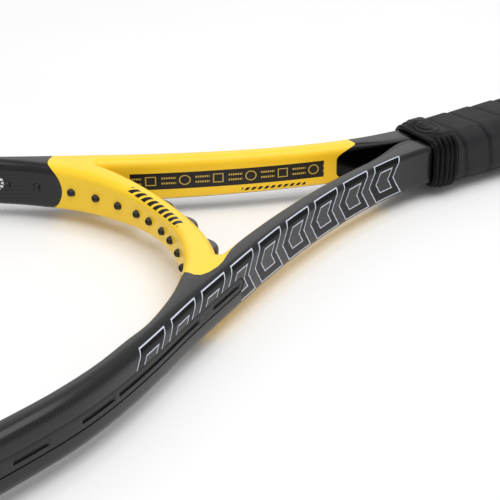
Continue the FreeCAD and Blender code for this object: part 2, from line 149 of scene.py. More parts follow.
# the throat opening: up the arm, round the tight corner and back along the bridge
gaps = np.linalg.norm(tube_inside[:, None, :] - bridge_throat[None, :, :], axis=2)
meet_arm, meet_bridge = np.unravel_index(np.argmin(gaps[:460]), gaps[:460].shape)
back = int(THROAT_CORNER / STEP)
arm_end, corner = tube_inside[meet_arm - back], tube_inside[meet_arm]
bridge_end = bridge_throat[meet_bridge - back]
turn = np.linspace(0.0, 1.0, 12)[1:-1, None]
rounded = arm_end * (1 - turn) ** 2 + corner * 2 * turn * (1 - turn) + bridge_end * turn ** 2
throat_edge = np.concatenate((
    tube_inside[:meet_arm - back + 1], rounded, bridge_throat[meet_bridge - back::-1],
))
throat_edge[-1, 1] = 0.0


def nearest(line):
    """Search tree over the points of a flat line."""
    tree = KDTree(len(line))
    for k, (x, y) in enumerate(line):
        tree.insert((x, y, 0.0), k)
    tree.balance()
    return tree


def refined(line):
    """The same flat line with finer steps."""
    return smooth_line([(x, y, 0.0) for x, y in line], FINE_STEP)[:, :2]


outer_tree = nearest(refined(outer_edge))
inner_tree = nearest(np.concatenate([refined(throat_edge), refined(head_edge)]))


def frame_beam(x, y, from_outside):
    """Half the frame's height: the bridge is lower than the arms at its middle."""
    bridge = BRIDGE_HALF_BEAM + BRIDGE_RISE * ease(abs(y), 0.0, BRIDGE_HALF_SPAN)
    share = ease(from_outside, 11.0, 24.0) if 300.0 < x < 352.0 else 0.0
    return shaft_beam(x) + (bridge - shaft_beam(x)) * share


CHANNEL_START = 324.5
CHANNEL_END = 602.5
CHANNEL_DEPTH = 1.3
CHANNEL_HALF = 3.2


def channel_half(x):
    """Half height of the moulded channel: round at its end near the throat."""
    run = np.clip((CHANNEL_START + CHANNEL_HALF - x) / CHANNEL_HALF, 0.0, 1.0)
    open_here = (x > CHANNEL_START) & (x < CHANNEL_END)
    return np.where(open_here, CHANNEL_HALF * np.sqrt(1.0 - run ** 2), 0.0)


def lay_sheet(bm, columns, rows, place):
    """A grid of faces, each corner put where place(column, row) says. Returns its corners."""
    made = bmesh.ops.create_grid(bm, x_segments=columns - 1, y_segments=rows - 1, size=1.0)["verts"]
    for k, vert in enumerate(made):
        vert.co = place(k % columns, k // columns)
    return made


def edge_rounding(k):
    """Share of the edge radius gone inwards and upwards at step k of the rounding."""
    angle = 0.5 * math.pi * k / (EDGE_ROWS - 1)
    return 1.0 - math.cos(angle), math.sin(angle)


def wall_sheet(bm, line, inward, wall_rows):
    """One wall of the frame from mid height up, over its rounded edge."""
    radii, beams = [], []
    for x, y in line:
        radius = float(edge_radius(x))
        if wall_rows is not outer_wall:
            radius = max(radius, INNER_EDGE_RADIUS)
            radius = 0.4 + (radius - 0.4) * float(ease(x, 199.0, 236.0))
        far = outer_tree.find((x, y, 0.0))[2]
        beam = float(frame_beam(x, y, 0.0 if wall_rows is outer_wall else far))
        radii.append(radius)
        beams.append(beam)
    rows = len(wall_rows(300.0))

    def place(column, row):
        x, y = line[column]
        nx, ny = inward[column]
        if row < rows:
            depth, height = wall_rows(x)[row]
            height = min(height, beams[column] - radii[column])
        else:
            side, rise = edge_rounding(row - rows)
            depth = radii[column] * side
            height = beams[column] - radii[column] + radii[column] * rise
        return Vector((x + nx * depth, y + ny * depth, height)) * MM

    return lay_sheet(bm, len(line), rows + EDGE_ROWS, place)[-len(line):]


def outer_wall(x):
    """Depth and height of the outside wall's rows, with the channel sunk along its middle."""
    half = float(channel_half(np.array(x)))
    depth = CHANNEL_DEPTH if half > 0.0 else 0.0
    return (depth, 0.0), (depth, half), (0.0, half), (0.0, 4.2)


def inner_wall(x):
    """Depth and height of an inside wall's rows."""
    return (0.0, 0.0), (0.0, 2.0), (0.0, 4.0)


def finish_piece(name, bm, flat_angle=35.0):
    """Closes a mesh off: doubles merged, faces outwards, shaded smooth up to an angle."""
    bmesh.ops.remove_doubles(bm, verts=bm.verts, dist=2e-6)
    bmesh.ops.dissolve_degenerate(bm, edges=bm.edges, dist=1e-7)
    bmesh.ops.recalc_face_normals(bm, faces=bm.faces)
    mesh = bpy.data.meshes.new(name)
    bm.to_mesh(mesh)
    bm.free()
    mesh.shade_smooth()
    mesh.set_sharp_from_angle(angle=math.radians(flat_angle))
    piece = bpy.data.objects.new(name, mesh)
    bpy.context.scene.collection.objects.link(piece)
    return piece


bm = bmesh.new()
outer_ring = wall_sheet(bm, outer_edge, -side_out, outer_wall)
throat_in = left_normals(throat_edge)
throat_in[-1] = (1.0, 0.0)
throat_ring = wall_sheet(bm, throat_edge, throat_in, inner_wall)
head_in = left_normals(head_edge)
head_in[0], head_in[-1] = (-1.0, 0.0), (1.0, 0.0)
head_ring = wall_sheet(bm, head_edge, head_in, inner_wall)
rim = []
for ring in (outer_ring, throat_ring, head_ring):
    for a, b in zip(ring, ring[1:]):
        rim.append(bm.edges.get((a, b)))
rim.append(bm.edges.new((outer_ring[-1], head_ring[-1])))
rim.append(bm.edges.new((head_ring[0], throat_ring[-1])))
rim.append(bm.edges.new((throat_ring[0], outer_ring[0])))
bmesh.ops.triangle_fill(bm, edges=rim, use_beauty=True, normal=(0.0, 0.0, 1.0))
bmesh.ops.mirror(bm, geom=bm.verts[:] + bm.edges[:] + bm.faces[:], axis="Z", merge_dist=1e-6)
bmesh.ops.mirror(bm, geom=bm.verts[:] + bm.edges[:] + bm.faces[:], axis="Y", merge_dist=4e-6)
painted_frame = finish_piece("painted_frame", bm, 40.0)

# how far each point lies from the outside and the inside of the frame, and along and around it
run = np.concatenate(([0.0], np.cumsum(np.linalg.norm(np.diff(outer_edge, axis=0), axis=1))))
run -= np.interp(199.0, outer_edge[:300, 0], run[:300])
run_share = np.linspace(0.0, 1.0, len(run))
last_spot = len(refined(outer_edge)) - 1.0
fields = {name: [] for name in ("from_outside", "from_inside", "along", "around")}
for vert in painted_frame.data.vertices:
    x, y, z = vert.co / MM
    spot, index, outside = outer_tree.find((x, abs(y), 0.0))
    inside = inner_tree.find((x, abs(y), 0.0))[2]
    radius = float(edge_radius(x))
    beam = float(shaft_beam(x))
    if abs(z) < beam - radius + 0.01:
        height = abs(z)
    elif outside < radius:
        height = beam - radius + radius * math.acos(1.0 - outside / radius)
    else:
        height = beam - radius + radius * math.pi / 2.0 + outside - radius
    fields["from_outside"].append(outside)
    fields["from_inside"].append(inside)
    fields["along"].append(float(np.interp(index / last_spot, run_share, run)))
    fields["around"].append(height * (1.0 if z * y > 0.0 else -1.0))
for name, values in fields.items():
    painted_frame.data.attributes.new(name, "FLOAT", "POINT").data.foreach_set("value", values)


class Shade:
    """A socket in a material, so that sums on it read as ordinary expressions."""

    def __init__(self, tree, socket=None):
        self.tree = tree
        self.socket = socket

    def node(self, kind, settings=None, inputs=None, output=0):
        made = self.tree.nodes.new(kind)
        for key, value in (settings or {}).items():
            if key == "stops":
                while len(made.color_ramp.elements) < len(value):
                    made.color_ramp.elements.new(0.5)
                for element, (place, grey) in zip(made.color_ramp.elements, value):
                    element.position = place
                    element.color = (grey, grey, grey, 1.0)
            else:
                setattr(made, key, value)
        for key, value in (inputs or {}).items():
            if isinstance(value, Shade):
                self.tree.links.new(value.socket, made.inputs[key])
            else:
                made.inputs[key].default_value = value
        return Shade(self.tree, made.outputs[output])

    def sum(self, operation, *values):
        return self.node("ShaderNodeMath", {"operation": operation}, dict(enumerate(values)))

    def __add__(self, other):
        return self.sum("ADD", self, other)

    def __sub__(self, other):
        return self.sum("SUBTRACT", self, other)

    def __mul__(self, other):
        return self.sum("MULTIPLY", self, other)

    def __truediv__(self, other):
        return self.sum("DIVIDE", self, other)

    def __gt__(self, other):
        return self.sum("GREATER_THAN", self, other)

    def __lt__(self, other):
        return self.sum("LESS_THAN", self, other)

    def __radd__(self, other):
        return self.sum("ADD", other, self)

    def __rsub__(self, other):
        return self.sum("SUBTRACT", other, self)

    def __rmul__(self, other):
        return self.sum("MULTIPLY", other, self)

    def __abs__(self):
        return self.sum("ABSOLUTE", self)

    def most(self, other):
        return self.sum("MAXIMUM", self, other)

    def least(self, other):
        return self.sum("MINIMUM", self, other)

    def length(self, other):
        """Distance from zero of a point with these two coordinates."""
        return self.sum("SQRT", self * self + other * other)

    def repeat(self, pitch):
        """The value measured from the middle of its own cell."""
        return self.sum("WRAP", self, pitch / 2.0, -pitch / 2.0)

    def soft(self, low, high):
        """Nought below the low value, one above the high one, eased between them."""
        settings = {"interpolation_type": "SMOOTHSTEP"}
        return self.node("ShaderNodeMapRange", settings, {0: self, 1: low, 2: high})

    def stretch(self, by):
        """A vector with each of its parts scaled on its own."""
        return self.node("ShaderNodeVectorMath", {"operation": "MULTIPLY"}, {0: self, 1: by})

    def attribute(self, name):
        return self.node("ShaderNodeAttribute", {"attribute_name": name}, output=2)

    def place(self):
        """Object coordinates in millimetres, as a vector and as x, y and z."""
        spot = self.node("ShaderNodeTexCoord", output=3)
        spot = self.node("ShaderNodeVectorMath", {"operation": "SCALE"}, {0: spot, "Scale": 1000.0})
        parts = [self.node("ShaderNodeSeparateXYZ", inputs={0: spot}, output=k) for k in range(3)]
        return spot, *parts

    def noise(self, spot, scale, detail=3.0):
        inputs = {"Vector": spot, "Scale": scale, "Detail": detail}
        return self.node("ShaderNodeTexNoise", inputs=inputs)

    def mix(self, share, first, second):
        return self.node(
            "ShaderNodeMix", {"data_type": "RGBA"}, {0: share, 6: first, 7: second}, output=2
        )

    def bump(self, height, distance, strength=1.0):
        inputs = {"Height": height, "Distance": distance, "Strength": strength}
        return self.node("ShaderNodeBump", inputs=inputs)


def material(name):
    """An empty material: its shader and a Shade to build on."""
    made = bpy.data.materials.new(name)
    made.use_nodes = True
    return made, made.node_tree.nodes["Principled BSDF"], Shade(made.node_tree)


def feed(shader, **values):
    """Joins shades to a shader's sockets, or sets plain values on them."""
    for name, value in values.items():
        socket = shader.inputs[name.replace("_", " ")]
        if isinstance(value, Shade):
            value.tree.links.new(value.socket, socket)
        else:
            socket.default_value = value


YELLOW = (1.0, 0.69, 0.034, 1.0)
YELLOW_DEEP = (1.0, 0.60, 0.022, 1.0)
BLACK = (0.0035, 0.0035, 0.004, 1.0)
# darkest black: the glossy fill of the printed marks, and also painted shade in the crotch between the
# tubes
BLACK_INK_AND_SHADE = (0.0008, 0.0008, 0.001, 1.0)
SILVER = (0.58, 0.62, 0.72, 1.0)
GOLD = (0.62, 0.42, 0.08, 1.0)

lacquer, shader, paint = material("frame_lacquer")
spot, x, y, z = paint.place()
outside = paint.attribute("from_outside")
inside = paint.attribute("from_inside")
along = paint.attribute("along")
around = paint.attribute("around")
near = y > 0.0
upper = (z * (near * 2.0 - 1.0)) > 0.0

# yellow: one face and the inside of each arm, the whole bridge and the shoulders
CROTCH_X = 233.4
WALL_LINE_X = 346.5
FACE_LINE_X = 348.3
shoulder_line = paint.node(
    "ShaderNodeValToRGB",
    {"stops": ((0.0, 0.46), (0.16, 0.44), (0.4, 0.36), (0.56, 0.27), (0.66, 0.255), (0.8, 0.285),
               (0.9, 0.36), (0.955, 0.48), (0.99, 0.68), (1.0, 1.0))},
    {0: (x - 312.0) / 36.0},
) * 20.0
wall_line = WALL_LINE_X + 0.03 * z * z
on_face = (inside > 1.1) * (outside > shoulder_line) * (x < FACE_LINE_X)
on_upper = on_face.most((inside < 1.2) * (x < wall_line))
hollow = (16.8 - outside).most(0.0)
hoop_line = wall_line - 0.0345 * hollow * hollow
on_lower = (outside > 1.0) * (x < hoop_line)
up_wall = (abs(z) - 3.0).most(0.0)
past_crotch = x > CROTCH_X - 0.27 * up_wall * up_wall
yellow = past_crotch * (upper * on_upper + (1.0 - upper) * on_lower)

# plain nested chevrons, outlined in silver down the outside of each arm
CHEVRON_PITCH = 21.2
CHEVRON_FIRST = 26.5
CHEVRON_COUNT = 9
tall = abs(around - 1.4)
chevron = along + 0.62 * tall - CHEVRON_FIRST
own = chevron.repeat(CHEVRON_PITCH)
shape = (abs(own) - 8.0).most(tall - 8.5)
nested = (abs(own + 0.6) - 3.9).most(tall - 4.6)
printed = (chevron > CHEVRON_PITCH * -0.5) * (chevron < CHEVRON_PITCH * (CHEVRON_COUNT - 0.5))
printed = printed * (outside < 6.5) * ((x < CHANNEL_START + 1.5) + (around > 3.35)).least(1.0)
filled = (shape < 0.0) * (nested > 0.0) * printed
lined = (abs(shape) < 0.28).most(abs(nested) < 0.25) * printed

# black panel with plain line symbols on the inside of the right arm, and rows of ticks
PANEL_START, PANEL_END = 239.0, 318.0
SYMBOL_FIRST, SYMBOL_PITCH = 247.0, 13.3
right = 1.0 - near
on_wall = (inside < 0.6) * (outside > 4.0)
panel = right * on_wall * (x > PANEL_START) * (x < PANEL_END) * (z > -4.0) * (z < 3.7)
u = (x - SYMBOL_FIRST).repeat(SYMBOL_PITCH)
symbol_u = u + 3.4
symbol_ring = abs(symbol_u.length(z) - 2.1) < 0.22
symbol_box = abs(abs(symbol_u).most(abs(z)) - 1.9) < 0.2
odd = abs((x - SYMBOL_FIRST).repeat(SYMBOL_PITCH * 2.0)) < SYMBOL_PITCH / 2.0
dash_cell = abs(u - 3.0) < 2.9
dashes = dash_cell * (abs(abs(z) - 1.2) < 0.42) * (abs(u.repeat(0.9)) < 0.3)
symbols = panel * (odd * symbol_ring + (1.0 - odd) * symbol_box + dashes).least(1.0)
ticks_wall = right * on_wall * (abs(z + 6.3) < 0.75) * (x > 247.0) * (x < 274.0)
ticks_wall = ticks_wall * (abs((x + 0.7 * z).repeat(2.7)) < 0.8)
over_bridge = x - 325.0 - 0.0045 * y * y
ticks_bridge = (z > 4.0) * (abs(over_bridge - 1.9) < 1.6) * (abs(y + 1.5) < 20.5)
ticks_bridge = ticks_bridge * (abs((y + 0.7 * over_bridge).repeat(4.4)) < 1.35)
ink = (ticks_wall + ticks_bridge).least(1.0)

# ring of white dots on the inside of the hoop
dot_u, dot_v = x - 368.4, z - 0.8
dots = abs(dot_u.length(dot_v) - 3.1) < 0.55
dots = dots * on_wall * right * (abs(dot_u.sum("ARCTAN2", dot_v, dot_u).repeat(math.pi / 6.0)) < 0.17)

speck = paint.noise(spot, 0.9, 4.0)
cloud = paint.noise(spot, 0.05, 2.0)
weave = paint.node(
    "ShaderNodeTexWave",
    {"wave_type": "BANDS", "bands_direction": "DIAGONAL"},
    {"Vector": spot, "Scale": 0.35, "Distortion": 0.6, "Detail": 1.0},
    output=1,
)
tone = paint.mix(cloud, YELLOW_DEEP, YELLOW)
dark = paint.mix(weave * 0.4, BLACK, (0.018, 0.018, 0.020, 1.0))
dark = paint.mix(filled, dark, BLACK_INK_AND_SHADE)
dark = paint.mix(lined, dark, SILVER)
dark = paint.mix(dots, dark, (0.75, 0.78, 0.82, 1.0))
# painted shade: the valley where the two tubes part near the collar is coloured darker than the rest of the
# black, and it is made glossier below
painted_crotch_shade = (x < 233.0) * (inside < 3.2) * (1.0 - (outside < 3.0))
dark = paint.mix(painted_crotch_shade, dark, BLACK_INK_AND_SHADE)
tone = paint.mix(ink, tone, BLACK_INK_AND_SHADE)
colour = paint.mix(yellow, dark, tone)
colour = paint.mix(panel, colour, (0.012, 0.011, 0.010, 1.0))
colour = paint.mix(symbols, colour, GOLD)
black_area = 1.0 - yellow
glossy = (filled + painted_crotch_shade).least(1.0) * black_area
rough = 0.30 + 0.10 * speck - 0.18 * glossy - 0.04 * yellow
feed(
    shader,
    Base_Color=colour,
    Roughness=rough,
    Normal=paint.bump(speck * 0.5 + (1.0 - yellow) * weave * 0.15 + yellow * 0.4, 0.00003, 0.5),
    IOR=1.3,
    Coat_Weight=(1.0 - glossy) * (0.42 - 0.22 * yellow),
    Coat_Roughness=0.16,
)
painted_frame.data.materials.append(lacquer)
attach(painted_frame, "frame")
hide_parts("head_hoop", "left_arm", "right_arm", "throat_bridge")

# ---------------------------------------------------------------------------
# Side grommet strips. Moulded black nylon, clipped into the channel on the outside of the arm
# and hoop. Its face lies almost flush, with a groove for each run of string, and its barrels
# stand out of the inside wall where the strings come through.

MAIN_Y = (5.0, 14.3, 25.4, 36.8, 48.2, 61.0, 70.5, 82.5)
CROSS_X = [387.0 + 13.9 * k for k in range(19)]
BUMPER_START = 601.5
STRIP_GAP = 0.1
GROOVE_HALF = 0.9
GROOVE_DEPTH = 0.7
BARREL_PROUD, BARREL_FLUSH, GUARD_BARREL_PROUD = 1.6, 0.8, 0.9

# groove runs along the outside, between the places that one string joins
grooves = [(327.7, 344.2), (353.0, 398.0)]
grooves += list(zip(CROSS_X[1::2], CROSS_X[2::2]))
strip_run = [
    k for k, (x, y) in enumerate(outer_edge)
    if CHANNEL_START + 0.15 < x < CHANNEL_END - 0.3 and side_line[k, 1] > 50.0 and k < len(outer_edge) * 0.8
]


def strip_face(column, row):
    k = strip_run[column]
    x, y = outer_edge[k]
    half = max(float(channel_half(np.array(x - STRIP_GAP))) - STRIP_GAP * 2.0, 0.02)
    grooved = any(low < x < high for low, high in grooves)
    floor = STRIP_GAP + (GROOVE_DEPTH if grooved else 0.0)
    depth, height = (
        (floor, 0.0), (floor, min(GROOVE_HALF, half)), (STRIP_GAP, min(GROOVE_HALF, half)),
        (STRIP_GAP, half - 0.25), (STRIP_GAP + 0.2, half), (1.25, half),
    )[row]
    height = max(min(height, half), 0.0)
    nx, ny = side_out[k]
    return Vector((x - nx * depth, y - ny * depth, height)) * MM


def add_barrel(bm, foot, away, proud):
    """A grommet barrel: a short tapered tube with a rounded lip, lathed about its own axis."""
    profile = ((1.75, -0.8), (1.75, 0.0), (1.66, proud * 0.4), (1.42, proud * 0.8), (1.2, proud),
               (0.95, proud), (0.8, proud * 0.85), (0.75, proud * 0.4), (0.75, -0.7))
    ring = [bm.verts.new((r * MM, 0.0, h * MM)) for r, h in profile]
    edges = [bm.edges.new(pair) for pair in zip(ring, ring[1:])]
    bmesh.ops.spin(bm, geom=ring + edges, cent=(0, 0, 0), axis=(0, 0, 1), angle=2 * math.pi,
                   steps=20, use_merge=True)
    turned = set(ring)
    frontier = list(ring)
    while frontier:
        for edge in frontier.pop().link_edges:
            for vert in edge.verts:
                if vert not in turned:
                    turned.add(vert)
                    frontier.append(vert)
    lie = Vector((away[0], away[1], 0.0)).to_track_quat("Z", "Y").to_matrix().to_4x4()
    at_foot = Matrix.Translation(Vector((*foot, 0.0)) * MM)
    bmesh.ops.transform(bm, matrix=at_foot @ lie, verts=list(turned))


def barrel_places(mains, crosses):
    """Foot and direction of the barrels on the left side of the head."""
    places = []
    for main, tip in mains:
        line = head_edge[len(head_edge) // 2:] if tip else head_edge[:len(head_edge) // 2]
        rising = line[::-1] if tip else line
        k = int(np.argmax(rising[:, 1] > main))
        places.append((rising[k], (-1.0, 0.0) if tip else (1.0, 0.0)))
    for x in crosses:
        k = int(np.argmax(side_line[:, 0] > x))
        places.append((tube_inside[k], -side_out[k]))
    return places


def proud_at(foot):
    """Barrels stand out of the yellow part and end nearly flush in the black part."""
    return BARREL_PROUD if foot[0] < 350.0 else BARREL_FLUSH


low_mains = [(main, False) for main in MAIN_Y[5:]]
side_places = barrel_places(low_mains, [cross for cross in CROSS_X if cross < BUMPER_START])
strips = []
for side, name in ((1.0, "left"), (-1.0, "right")):
    bm = bmesh.new()
    lay_sheet(bm, len(strip_run), 6, strip_face)
    bmesh.ops.mirror(bm, geom=bm.verts[:] + bm.edges[:] + bm.faces[:], axis="Z", merge_dist=1e-6)
    for foot, away in side_places:
        add_barrel(bm, foot, away, proud_at(foot))
    bmesh.ops.scale(bm, vec=(1.0, side, 1.0), verts=bm.verts)
    strip = finish_piece(name + "_strip", bm, 50.0)
    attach(strip, "frame")
    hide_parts(name + "_grommet_strip")
    strips.append(strip)

nylon, shader, shade = material("grommet_nylon")
spot = shade.place()[0]
grain = shade.noise(spot, 2.2, 4.0)
wear = shade.noise(spot, 0.12, 2.0).soft(0.45, 0.7)
feed(
    shader,
    Base_Color=shade.mix(wear, (0.005, 0.005, 0.006, 1.0), (0.012, 0.012, 0.013, 1.0)),
    Roughness=0.34 + 0.22 * grain + 0.08 * wear,
    Normal=shade.bump(grain, 0.00006, 0.6),
)
for strip in strips:
    strip.data.materials.append(nylon)

# ---------------------------------------------------------------------------
# Bumper guard. A tough nylon cover round the tip of the hoop, held by its own barrels and by
# the strings, with a sunk line for the strings to lie in. It takes the scrapes of play.

half_way = len(outer_edge) // 2
guard_run = [k for k, (x, y) in enumerate(outer_edge) if x > BUMPER_START and k > half_way]


def guard_face(column, row):
    k = guard_run[column]
    x, y = outer_edge[k]
    reach, height = (
        (1.0, 0.0), (1.0, 1.5), (1.35, 1.8), (1.8, 2.1), (1.8, 5.6), (1.55, 7.0), (0.9, 8.2),
        (0.0, 8.4), (-1.2, 8.4),
    )[row]
    nx, ny = side_out[k]
    end = float(ease(x, BUMPER_START, BUMPER_START + 4.0))
    reach = reach * end if reach > 0.0 else reach
    return Vector((x + nx * reach, y + ny * reach, height)) * MM


bm = bmesh.new()
lay_sheet(bm, len(guard_run), 9, guard_face)
tip_mains = [(main, True) for main in MAIN_Y]
guard_places = barrel_places(tip_mains, [cross for cross in CROSS_X if cross > BUMPER_START])
bmesh.ops.mirror(bm, geom=bm.verts[:] + bm.edges[:] + bm.faces[:], axis="Z", merge_dist=1e-6)
for foot, away in guard_places:
    add_barrel(bm, foot, away, GUARD_BARREL_PROUD)
bmesh.ops.mirror(bm, geom=bm.verts[:] + bm.edges[:] + bm.faces[:], axis="Y", merge_dist=2e-6)
guard = finish_piece("bumper_cover", bm, 50.0)

guard_nylon, shader, shade = material("bumper_nylon")
spot, x, y, z = shade.place()
grain = shade.noise(spot, 1.4, 5.0)
scrape = shade.noise(spot.stretch((0.25, 0.25, 2.2)), 0.8)
worn = scrape.soft(0.58, 0.72) * (x > 650.0)
feed(
    shader,
    Base_Color=shade.mix(worn, (0.013, 0.013, 0.014, 1.0), (0.045, 0.045, 0.045, 1.0)),
    Roughness=0.42 + 0.2 * grain + 0.15 * worn,
    Normal=shade.bump(grain + worn * 0.6, 0.0001, 0.6),
)
guard.data.materials.append(guard_nylon)
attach(guard, "frame")
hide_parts("bumper_guard")

# ---------------------------------------------------------------------------
# Bridge grommet strip. A thin nylon strip along the throat side of the bridge with smooth
# smoke-grey humps that the strings turn round, and barrels through into the head.

LOBE_RADIUS = 8.2
LOBE_PROUD = 4.4
LOBE_HALF = 4.2
bridge_out = left_normals(bridge_throat)
bridge_run = [k for k in range(len(bridge_throat)) if bridge_throat[k, 1] < 48.0]


def bridge_strip_face(column, row):
    k = bridge_run[column]
    x, y = bridge_throat[k]
    taper = 1.0 - 0.85 * float(ease(y, 42.0, 48.0))
    reach, height = ((1.6, 0.0), (1.6, 2.2), (1.2, 2.85), (0.0, 3.0), (-0.6, 3.0))[row]
    nx, ny = bridge_out[k]
    reach = reach * taper if reach > 0.0 else reach
    return Vector((x + nx * reach, y + ny * reach, height)) * MM


bm = bmesh.new()
lay_sheet(bm, len(bridge_run), 5, bridge_strip_face)
bmesh.ops.mirror(bm, geom=bm.verts[:] + bm.edges[:] + bm.faces[:], axis="Z", merge_dist=1e-6)
for foot, away in barrel_places([(main, False) for main in MAIN_Y[:5]], []):
    add_barrel(bm, foot, away, BARREL_PROUD)
bmesh.ops.mirror(bm, geom=bm.verts[:] + bm.edges[:] + bm.faces[:], axis="Y", merge_dist=2e-6)
bridge_strip = finish_piece("bridge_strip", bm, 50.0)
bridge_strip.data.materials.append(nylon)

bm = bmesh.new()
for low, high in ((MAIN_Y[0], MAIN_Y[1]), (MAIN_Y[2], MAIN_Y[3])):
    middle = (low + high) / 2.0
    k = int(np.argmax(bridge_throat[:, 1] > middle))
    centre = bridge_throat[k][0] - LOBE_PROUD + LOBE_RADIUS
    hump = bmesh.ops.create_cone(bm, cap_ends=True, segments=56, radius1=LOBE_RADIUS * MM,
                                 radius2=LOBE_RADIUS * MM, depth=2.0 * LOBE_HALF * MM,
                                 matrix=Matrix.Translation(Vector((centre, middle, 0.0)) * MM))["verts"]
    rims = [e for v in hump for e in v.link_edges if abs(e.verts[0].co.z - e.verts[1].co.z) < 1e-6]
    bmesh.ops.bevel(bm, geom=list(set(rims)), offset=2.0 * MM, offset_type="OFFSET", segments=7,
                    profile=0.5, affect="EDGES", material=-1)
bmesh.ops.bisect_plane(bm, geom=bm.verts[:] + bm.edges[:] + bm.faces[:], plane_co=(0.3262, 0.0, 0.0),
                       plane_no=(1.0, 0.0, 0.0), clear_outer=True)
bmesh.ops.holes_fill(bm, edges=[e for e in bm.edges if e.is_boundary], sides=0)
bmesh.ops.mirror(bm, geom=bm.verts[:] + bm.edges[:] + bm.faces[:], axis="Y", merge_dist=0.0)
humps = finish_piece("bridge_humps", bm, 40.0)

smoke, shader, shade = material("smoke_nylon")
spot = shade.place()[0]
grain = shade.noise(spot, 1.1, 3.0)
feed(
    shader,
    Base_Color=shade.mix(grain, (0.016, 0.015, 0.014, 1.0), (0.034, 0.031, 0.028, 1.0)),
    Roughness=0.2 + 0.18 * grain,
    Normal=shade.bump(grain, 0.00005, 0.5),
    Coat_Weight=0.4,
    Coat_Roughness=0.12,
)
humps.data.materials.append(smoke)
for piece in (bridge_strip, humps):
    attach(piece, "frame")
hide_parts("bridge_grommet_strip")

# ---------------------------------------------------------------------------
# Handle core. Two moulded foam shells are glued round the shaft tubes to make the octagon, and
# two wire staples hold the cap and one the start of the grip. The grip and cap cover them.

foam, shader, shade = material("pallet_foam")
spot = shade.place()[0]
cells = shade.node("ShaderNodeTexVoronoi", inputs={"Vector": spot, "Scale": 1.6})
feed(
    shader,
    Base_Color=shade.mix(cells, (0.20, 0.19, 0.17, 1.0), (0.34, 0.33, 0.30, 1.0)),
    Roughness=0.75 + 0.15 * cells,
    Normal=shade.bump(cells, 0.0001, 0.5),
)
wire, shader, shade = material("drawn_wire")
spot = shade.place()[0]
drawn = shade.noise(spot.stretch((6.0, 0.4, 6.0)), 1.0)
feed(
    shader,
    Base_Color=shade.mix(drawn, (0.42, 0.42, 0.40, 1.0), (0.62, 0.62, 0.60, 1.0)),
    Roughness=0.28 + 0.2 * drawn,
    Metallic=1.0,
    Normal=shade.bump(drawn, 0.00003, 0.4),
)


def repaint(node, finish):
    """Gives a carried-over CAD node a better material."""
    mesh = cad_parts[node].data
    if not mesh.materials:
        mesh.materials.append(finish)
    for k in range(len(mesh.materials)):
        mesh.materials[k] = finish


repaint("upper_pallet", foam)
repaint("lower_pallet", foam)
repaint("butt_cap_staples", wire)
repaint("grip_staple", wire)

# ---------------------------------------------------------------------------
# Grip. A soft black synthetic band wound up the handle from the butt in overlapping turns,
# each turn's edge lying on the one before. Its thin tail runs on under the collar.

PALLET_BUTT = (14.6, 11.8, 4.4)
PALLET_THROAT = (13.9, 10.9, 4.0)
PITCH = 14.0
WRAP_START, WRAP_END, TAIL_END = 24.0, 184.5, 189.5
TURN_STEPS = 72


def octagon_reach(angle, width, height, bevel, corner=26.0):
    """Distance from the axis to the wall of an octagon with slightly rounded corners."""
    c, s = abs(math.cos(angle)), abs(math.sin(angle))
    sides = (c / width, s / height, (c + s) / (width + height - bevel))
    return sum(side ** corner for side in sides) ** (-1.0 / corner)


def handle_point(x, angle, extra):
    """A point over the pallet at x, that much above its surface."""
    share = (min(max(x, 5.0), 191.0) - 5.0) / 186.0
    width, height, bevel = (a + (b - a) * share for a, b in zip(PALLET_BUTT, PALLET_THROAT))
    reach = octagon_reach(angle, width + extra, height + extra, bevel + extra * 0.586)
    return Vector((x, math.cos(angle) * reach, math.sin(angle) * reach)) * MM


# the band's section: a rolled leading edge on top, then a slow slope under the next turn
BAND = ((0.0, 0.92), (0.35, 1.18), (0.8, 1.42), (1.4, 1.58), (2.2, 1.62), (4.0, 1.56), (7.0, 1.46),
        (10.0, 1.36), (12.4, 1.20), (13.4, 1.02), (PITCH, 0.92))
SEAM_START = WRAP_START + 2.0
TAIL_LIFT = 0.6
turns = int((WRAP_END - WRAP_START) / PITCH) + 4


def band_point(column, row):
    """The winding: one row of the sheet is the band's section, a step further round."""
    along_band, lift = BAND[column]
    x = SEAM_START + PITCH * (row / TURN_STEPS - 2.0) + along_band
    return handle_point(min(max(x, WRAP_START), WRAP_END), 2.0 * math.pi * row / TURN_STEPS, lift)


def band_end(column, row):
    """The end of the last turn and the thin tail that runs on from it."""
    along_band = (WRAP_END - SEAM_START - PITCH * column / TURN_STEPS) % PITCH
    lift = float(np.interp(along_band, *zip(*BAND))) if row == 0 else TAIL_LIFT
    return handle_point(WRAP_END if row < 2 else TAIL_END, 2.0 * math.pi * column / TURN_STEPS, lift)


bm = bmesh.new()
lay_sheet(bm, len(BAND), turns * TURN_STEPS + 1, band_point)
lay_sheet(bm, TURN_STEPS + 1, 3, band_end)
for x, lift in ((WRAP_START, BAND[0][1]), (TAIL_END, TAIL_LIFT)):
    made = bmesh.ops.create_circle(bm, cap_ends=True, segments=TURN_STEPS, radius=1.0)["verts"]
    for k, vert in enumerate(made):
        vert.co = handle_point(x, 2.0 * math.pi * k / TURN_STEPS, lift)
wrap = finish_piece("wound_grip", bm, 50.0)

